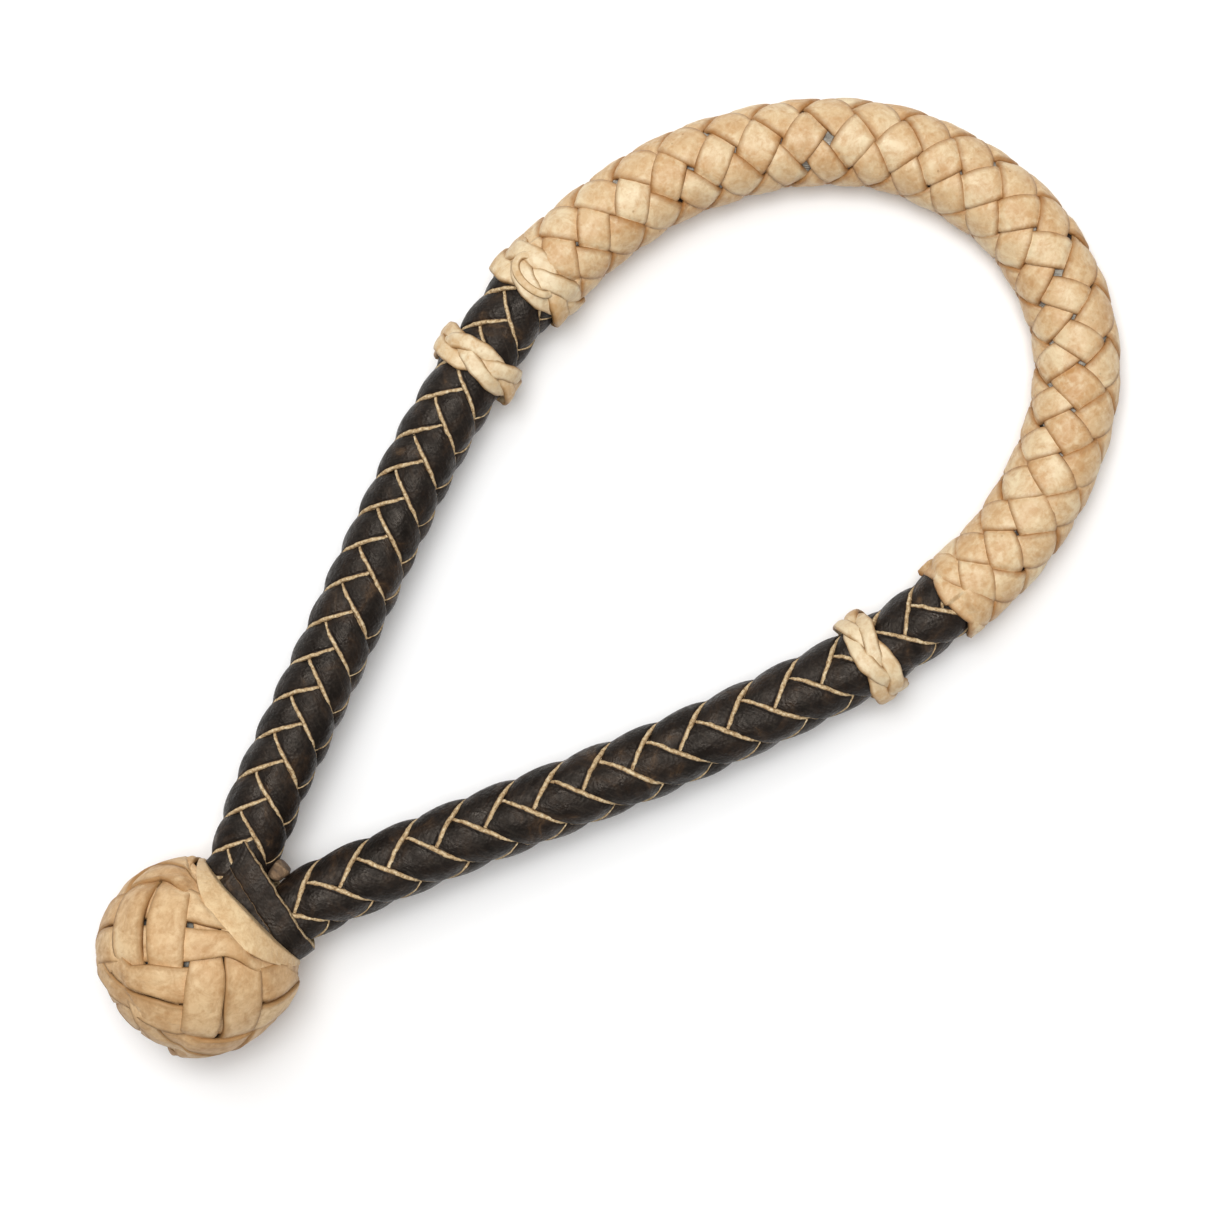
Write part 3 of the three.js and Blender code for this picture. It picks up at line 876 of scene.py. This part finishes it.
class Nodes:
    """Short names for building a material's node tree."""

    def __init__(self, name):
        self.material = bpy.data.materials.new(name)
        self.material.use_nodes = True
        self.tree = self.material.node_tree
        self.shader = self.tree.nodes["Principled BSDF"]

    def new(self, kind, **settings):
        """A new node with some of its settings changed."""
        node = self.tree.nodes.new(kind)
        for key, value in settings.items():
            setattr(node, key, value)
        return node

    def link(self, source, target):
        self.tree.links.new(source, target)

    def feed(self, socket, value):
        """Gives a socket a number or a colour, or links an output to it."""
        if isinstance(value, (int, float)):
            socket.default_value = value
        elif isinstance(value, tuple):
            socket.default_value = (*value, 1)
        else:
            self.link(value, socket)

    def attribute(self, name):
        return self.new("ShaderNodeAttribute", attribute_name=name).outputs["Fac"]

    def position(self):
        return self.new("ShaderNodeTexCoord").outputs["Object"]

    def fed(self, kind, values, **settings):
        """The first output of a new node that gets numbers or outputs in order."""
        node = self.new(kind, **settings)
        for socket, value in zip(node.inputs, values):
            self.feed(socket, value)
        return node.outputs[0]

    def combine(self, *values):
        return self.fed("ShaderNodeCombineXYZ", values)

    def math(self, operation, *values):
        return self.fed("ShaderNodeMath", values, operation=operation)

    def around_half(self, value, size):
        """How far a value lies from one half, times size."""
        return self.math("MULTIPLY", self.math("SUBTRACT", value, 0.5), size)

    def texture(self, kind, vector, numbers, **settings):
        """The outputs of a texture node with its number sockets set by name."""
        node = self.new(kind, **settings)
        for name, value in numbers.items():
            node.inputs[name].default_value = value
        self.link(vector, node.inputs["Vector"])
        return node.outputs

    def noise(self, vector, scale, detail=3.0, roughness=0.55, distortion=0.0):
        numbers = {"Scale": scale, "Detail": detail, "Roughness": roughness, "Distortion": distortion}
        return self.texture("ShaderNodeTexNoise", vector, numbers)["Fac"]

    def cells(self, vector, scale, feature="F1"):
        return self.texture("ShaderNodeTexVoronoi", vector, {"Scale": scale}, feature=feature)["Distance"]

    def ramp(self, value, stops):
        """A colour ramp; stops is a list of (position, colour or grey level)."""
        node = self.new("ShaderNodeValToRGB")
        elements = node.color_ramp.elements
        while len(elements) < len(stops):
            elements.new(0.5)
        for element, (position, colour) in zip(elements, stops):
            if isinstance(colour, (int, float)):
                colour = (colour, colour, colour)
            element.position = position
            element.color = (*colour, 1)
        self.link(value, node.inputs[0])
        return node.outputs[0]

    def mix(self, share, a, b):
        """Colour a where share is 0 and b where it is 1."""
        node = self.new("ShaderNodeMix", data_type="RGBA")
        for socket, value in zip((0, 6, 7), (share, a, b)):
            self.feed(node.inputs[socket], value)
        return node.outputs[2]

    def tint(self, colour, share, stops, code):
        """Lays a web hex colour over another one, as strongly as a ramp of share says."""
        return self.mix(self.ramp(share, stops), colour, srgb(code))

    def bump(self, height, strength, distance, before=None):
        """A bumped normal, on top of another bump's normal if one is given."""
        node = self.new("ShaderNodeBump")
        node.inputs["Strength"].default_value = strength
        node.inputs["Distance"].default_value = distance
        self.link(height, node.inputs["Height"])
        if before is not None:
            self.link(before, node.inputs["Normal"])
        return node.outputs[0]

    def finish(self, colour, roughness, normal, **constants):
        """Links the shader and hands over the material."""
        self.link(colour, self.shader.inputs["Base Color"])
        self.link(roughness, self.shader.inputs["Roughness"])
        self.link(normal, self.shader.inputs["Normal"])
        for key, value in constants.items():
            self.shader.inputs[key].default_value = value
        return self.material


def srgb(code):
    """A colour written as web hex, as the linear numbers that Blender takes."""
    values = [int(code[i:i + 2], 16) / 255 for i in (0, 2, 4)]
    return tuple(v / 12.92 if v <= 0.04045 else ((v + 0.055) / 1.055) ** 2.4 for v in values)


def black_leather():
    """Black dyed leather with a pale, torn-looking raw edge where it was cut."""
    n = Nodes("black_braid_leather")
    at = n.position()
    stretched = n.math("MULTIPLY", n.attribute("along"), 0.25)
    fibre = n.combine(stretched, n.attribute("across"), n.attribute("strand"))
    wear = n.noise(at, scale=110, detail=7, roughness=0.7, distortion=1.0)
    colour = n.ramp(wear, [
        (0.34, srgb("0E0B09")), (0.5, srgb("191310")), (0.6, srgb("2A1F17")), (0.75, srgb("5C452F"))])
    # Grey streaks along the fibres: partly scuffs in the leather, partly a painted sheen on the raised
    # strands.
    scuffs_and_painted_sheen = n.noise(fibre, scale=1.4, detail=5, roughness=0.65, distortion=0.4)
    colour = n.tint(colour, scuffs_and_painted_sheen, [(0.5, 0.0), (0.72, 0.4)], "443C34")

    grit = n.noise(at, scale=1400, roughness=0.7)
    raw = n.ramp(grit, [
        (0.3, srgb("7C6246")), (0.42, srgb("B2966F")), (0.55, srgb("D0B78F")), (0.7, srgb("EAD9B8"))])
    rawness = n.ramp(n.attribute("edge"), [(0.6, 0.25), (0.9, 1.0)])
    raw = n.mix(rawness, srgb("7A5836"), raw)
    tearing = n.around_half(n.noise(at, scale=700, roughness=0.7), 0.9)
    torn = n.math("ADD", n.attribute("edge"), tearing)
    edge = n.ramp(torn, [(0.36, 0.0), (0.52, 1.0)])
    colour = n.mix(edge, colour, raw)

    sheen = n.noise(at, scale=240, detail=6, roughness=0.72, distortion=0.5)
    roughness = n.mix(edge, n.ramp(sheen, [(0.36, 0.28), (0.62, 0.66)]), (0.85, 0.85, 0.85))
    normal = n.bump(n.cells(at, scale=1300), strength=0.35, distance=0.0003)
    fibres = n.noise(fibre, scale=3.0, detail=4, roughness=0.6)
    normal = n.bump(fibres, strength=0.4, distance=0.0004, before=normal)
    edge_grit = n.mix(edge, (0.5, 0.5, 0.5), grit)
    normal = n.bump(edge_grit, strength=0.7, distance=0.0004, before=normal)
    gloss = {"Specular IOR Level": 0.3, "Specular Tint": (1.0, 0.88, 0.76, 1.0)}
    return n.finish(colour, roughness, normal, **gloss)


def rawhide(name, light, middle, dark, line, speckle, roughness_range=(0.42, 0.6), veins=0.15):
    """Natural rawhide in three tones with darker sides; line is the colour of the sides, partly the darker
    amber of real rawhide edges and partly painted shade where strips dive under each other.

    speckle and veins are how strongly small brown specks and pale veins show."""
    n = Nodes(name)
    at = n.position()
    piece = n.math("MULTIPLY", n.attribute("strand"), 7.3)
    strand = n.combine(n.attribute("along"), n.attribute("across"), piece)
    patches = n.noise(strand, scale=0.07, roughness=0.5, distortion=0.4)
    colour = n.ramp(patches, [(0.32, srgb(light)), (0.5, srgb(middle)), (0.72, srgb(dark))])
    piece_tone = n.combine(0, 0, n.math("MULTIPLY", n.attribute("strand"), 3.7))
    tone = n.noise(piece_tone, scale=1.0)
    colour = n.tint(colour, tone, [(0.35, 0.0), (0.65, 0.45)], light)
    mottle = n.noise(at, scale=240, detail=6, roughness=0.68, distortion=0.7)
    colour = n.tint(colour, mottle, [(0.42, 0.0), (0.68, 0.7)], dark)
    spots = n.noise(at, scale=620, roughness=0.6, distortion=0.4)
    colour = n.tint(colour, spots, [(0.5, 0.0), (0.66, 0.3)], dark)
    pale = n.noise(at, scale=420, roughness=0.6)
    colour = n.tint(colour, pale, [(0.52, 0.0), (0.7, 0.5)], light)
    specks = n.cells(at, scale=190)
    colour = n.tint(colour, specks, [(0.03, speckle), (0.07, 0.0)], "8A5E2E")

    bend_size = 0.0022
    bend = n.new("ShaderNodeVectorMath", operation="MULTIPLY_ADD")
    n.link(n.texture("ShaderNodeTexNoise", at, {"Scale": 500})["Color"], bend.inputs[0])
    bend.inputs[1].default_value = (bend_size, bend_size, bend_size)
    n.link(at, bend.inputs[2])
    vein = n.cells(bend.outputs[0], scale=420, feature="DISTANCE_TO_EDGE")
    colour = n.tint(colour, vein, [(0.04, veins), (0.16, 0.0)], light)

    # Partly painted shade: the sides of each strip are tinted towards the line colour, both for the darker
    # amber of real rawhide edges and for the shade where strips meet and dive under each other.
    side = n.math("ADD", n.attribute("edge"), n.around_half(mottle, 0.25))
    colour = n.tint(colour, side, [(0.64, 0.0), (0.98, 0.82)], line)
    smoothest, roughest = roughness_range
    roughness = n.ramp(mottle, [(0.3, smoothest), (0.7, roughest)])
    ripples = n.noise(strand, scale=0.7, detail=4, distortion=0.2)
    normal = n.bump(ripples, strength=0.4, distance=0.0007)
    pores = n.noise(at, scale=900, detail=5, roughness=0.62)
    normal = n.bump(pores, strength=0.3, distance=0.0003, before=normal)
    return n.finish(colour, roughness, normal, **{"Specular IOR Level": 0.4})


def mottled(name, scale, detail, noise_roughness, distortion, stops, roughness_range):
    """A new material's nodes with mottled colour and roughness, ready for a bump."""
    n = Nodes(name)
    at = n.position()
    mottle = n.noise(at, scale, detail, noise_roughness, distortion)
    colour = n.ramp(mottle, [(position, srgb(code)) for position, code in stops])
    smoothest, roughest = roughness_range
    roughness = n.ramp(mottle, [(0.2, smoothest), (0.8, roughest)])
    return n, at, colour, roughness


def grey_cloth():
    """Grey cloth wound under the rawhide."""
    n, at, colour, roughness = mottled(
        "wound_grey_cloth", scale=500, detail=4, noise_roughness=0.6, distortion=0.0,
        stops=[(0.3, "625E57"), (0.6, "A09B90"), (0.8, "D2CDC2")], roughness_range=(0.8, 0.95))
    threads = n.texture(
        "ShaderNodeTexWave", at, {"Scale": 700, "Distortion": 3},
        wave_type="BANDS", bands_direction="DIAGONAL")
    normal = n.bump(threads["Fac"], strength=0.6, distance=0.0003)
    return n.finish(colour, roughness, normal)


def brown_leather():
    """Rough brown split leather."""
    n, at, colour, roughness = mottled(
        "brown_split_leather", scale=420, detail=5, noise_roughness=0.65, distortion=0.6,
        stops=[(0.3, "3F2F22"), (0.55, "7A6147"), (0.8, "B0977A")], roughness_range=(0.7, 0.9))
    nap = n.noise(at, scale=1200, detail=4, roughness=0.65)
    return n.finish(colour, roughness, n.bump(nap, strength=0.6, distance=0.0004))


def core_rawhide():
    """Twisted rawhide of the core."""
    n, at, colour, roughness = mottled(
        "core_twisted_rawhide", scale=300, detail=5, noise_roughness=0.6, distortion=0.8,
        stops=[(0.3, "7A5634"), (0.6, "A98050"), (0.8, "C8A274")], roughness_range=(0.6, 0.8))
    grain = n.noise(at, scale=700, detail=4, roughness=0.6)
    return n.finish(colour, roughness, n.bump(grain, strength=0.5, distance=0.0004))


# ---- building ----

def build_braid(leather):
    for number in range(STRANDS_EACH_WAY):
        body_strand(number, 1, leather)
        body_strand(number, -1, leather)


def build_nose():
    hide = rawhide(
        "nose_rawhide", light="E8D4AE", middle="D6B486", dark="BB8850", line="946028",
        speckle=0.5)
    pale = rawhide(
        "pale_rawhide", light="E9D8B6", middle="DAC096", dark="C0945E", line="96682F",
        speckle=0.25)
    nose_button_string(hide)
    nose_end_ring(pale)
    tail_loop(pale)
    keeper_ring("left", LEFT_RING_AT, pale, seed=2, tilt=0.06)
    keeper_ring("right", RIGHT_RING_AT, pale, seed=3)


def build_heel():
    hide = rawhide(
        "knot_rawhide", light="E2C498", middle="CDA474", dark="AC7E4C", line="A27848",
        speckle=0.15, roughness_range=(0.5, 0.72), veins=0.14)
    pale = rawhide(
        "rim_rawhide", light="E8CEA2", middle="D8B587", dark="BC8F5B", line="A2743E",
        speckle=0.1, roughness_range=(0.45, 0.65), veins=0.2)
    heel_string(1, -1, hide)
    heel_string(2, 1, hide)
    heel_collar(pale)
    heel_cap_strips(hide)


def build_foundations():
    cloth = grey_cloth()
    heel_filling(cloth)
    nose_foundation(cloth)


def build_throat(leather):
    throat_turn(1, x_middle=17.2, half_width=3.2, clearance=0.7, material=leather)
    throat_turn(2, x_middle=21.9, half_width=3.5, clearance=1.2, material=leather)
    throat_filler(brown_leather())


def paint_core():
    """Gives the core, which the braid hides, its own material."""
    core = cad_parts["core"]
    core.data.materials.clear()
    core.data.materials.append(core_rawhide())


# ---- floor, lights and camera ----

VIEW_CENTRE = np.array([126.0, -1.8, 0.0])
VIEW_WIDTH = 281.8
VIEW_DISTANCE = 1100.0
VIEW_ROLL = radians(41.8)
SENSOR_WIDTH = 36
CLIP_START, CLIP_END = 0.01, 20

FLOOR_HALF_SIZE = 6.0
FLOOR_WHITE = (0.97, 0.97, 0.97, 1)
FLOOR_ROUGHNESS = 0.9
FLOOR_SPECULAR = 0.1

# Name, place in the view from above (mm to the right, up, and above the loop), size in
# metres and energy in watts.
LIGHTS = [
    ("key_light", (-450, 900, 2200), 1.5, 28),
    ("fill_light", (1500, -900, 2000), 2.5, 3.5),
    ("top_light", (-80, 160, 2600), 1.2, 45),
]
WORLD_STRENGTH = 0.16


def stage_floor():
    """The white table that everything lies on."""
    size = FLOOR_HALF_SIZE
    corners = [(-size, -size, 0), (size, -size, 0), (size, size, 0), (-size, size, 0)]
    mesh = bpy.data.meshes.new("floor")
    mesh.from_pydata(corners, [], [(0, 1, 2, 3)])
    floor = bpy.data.objects.new("floor", mesh)
    bpy.context.scene.collection.objects.link(floor)
    n = Nodes("floor_white")
    n.shader.inputs["Base Color"].default_value = FLOOR_WHITE
    n.shader.inputs["Roughness"].default_value = FLOOR_ROUGHNESS
    n.shader.inputs["Specular IOR Level"].default_value = FLOOR_SPECULAR
    mesh.materials.append(n.material)


def view_directions():
    """Right and up in the view from above, in loop coordinates."""
    c, s = cos(VIEW_ROLL), sin(VIEW_ROLL)
    return np.array([c, -s, 0]), np.array([s, c, 0])


def add_light(name, place, size, energy):
    """A soft square light aimed at the middle of the loop."""
    light = bpy.data.lights.new(name, "AREA")
    light.size = size
    light.energy = energy
    obj = bpy.data.objects.new(name, light)
    bpy.context.scene.collection.objects.link(obj)
    right, up = view_directions()
    offset = right * place[0] + up * place[1] + np.array([0, 0, place[2]])
    position = Vector(to_row(VIEW_CENTRE + offset).tolist())
    target = Vector(to_row(VIEW_CENTRE).tolist())
    obj.location = position
    obj.rotation_euler = (target - position).to_track_quat("-Z", "Y").to_euler()


def add_world():
    """An even white glow from all round."""
    world = bpy.data.worlds.new("studio")
    world.use_nodes = True
    background = world.node_tree.nodes["Background"]
    background.inputs["Color"].default_value = (1, 1, 1, 1)
    background.inputs["Strength"].default_value = WORLD_STRENGTH
    bpy.context.scene.world = world
    bpy.context.scene.view_settings.view_transform = "Standard"


def add_camera():
    """A camera straight above the loop's own plane, rolled as in the photograph."""
    camera = bpy.data.cameras.new("camera")
    camera.sensor_width = SENSOR_WIDTH
    camera.lens = SENSOR_WIDTH * VIEW_DISTANCE / VIEW_WIDTH
    camera.clip_start = CLIP_START
    camera.clip_end = CLIP_END
    obj = bpy.data.objects.new("camera", camera)
    bpy.context.scene.collection.objects.link(obj)
    back = np.array([0, 0, 1.0])
    place = to_row(VIEW_CENTRE + back * VIEW_DISTANCE)
    columns = [LIE @ direction for direction in (*view_directions(), back)] + [place]
    matrix = Matrix.Identity(4)
    for column, values in enumerate(columns):
        for row in range(3):
            matrix[row][column] = values[row]
    obj.matrix_world = matrix
    bpy.context.scene.camera = obj


braid_leather = black_leather()
build_braid(braid_leather)
build_nose()
build_heel()
build_foundations()
build_throat(braid_leather)
paint_core()
stage_floor()
for light_settings in LIGHTS:
    add_light(*light_settings)
add_world()
add_camera()
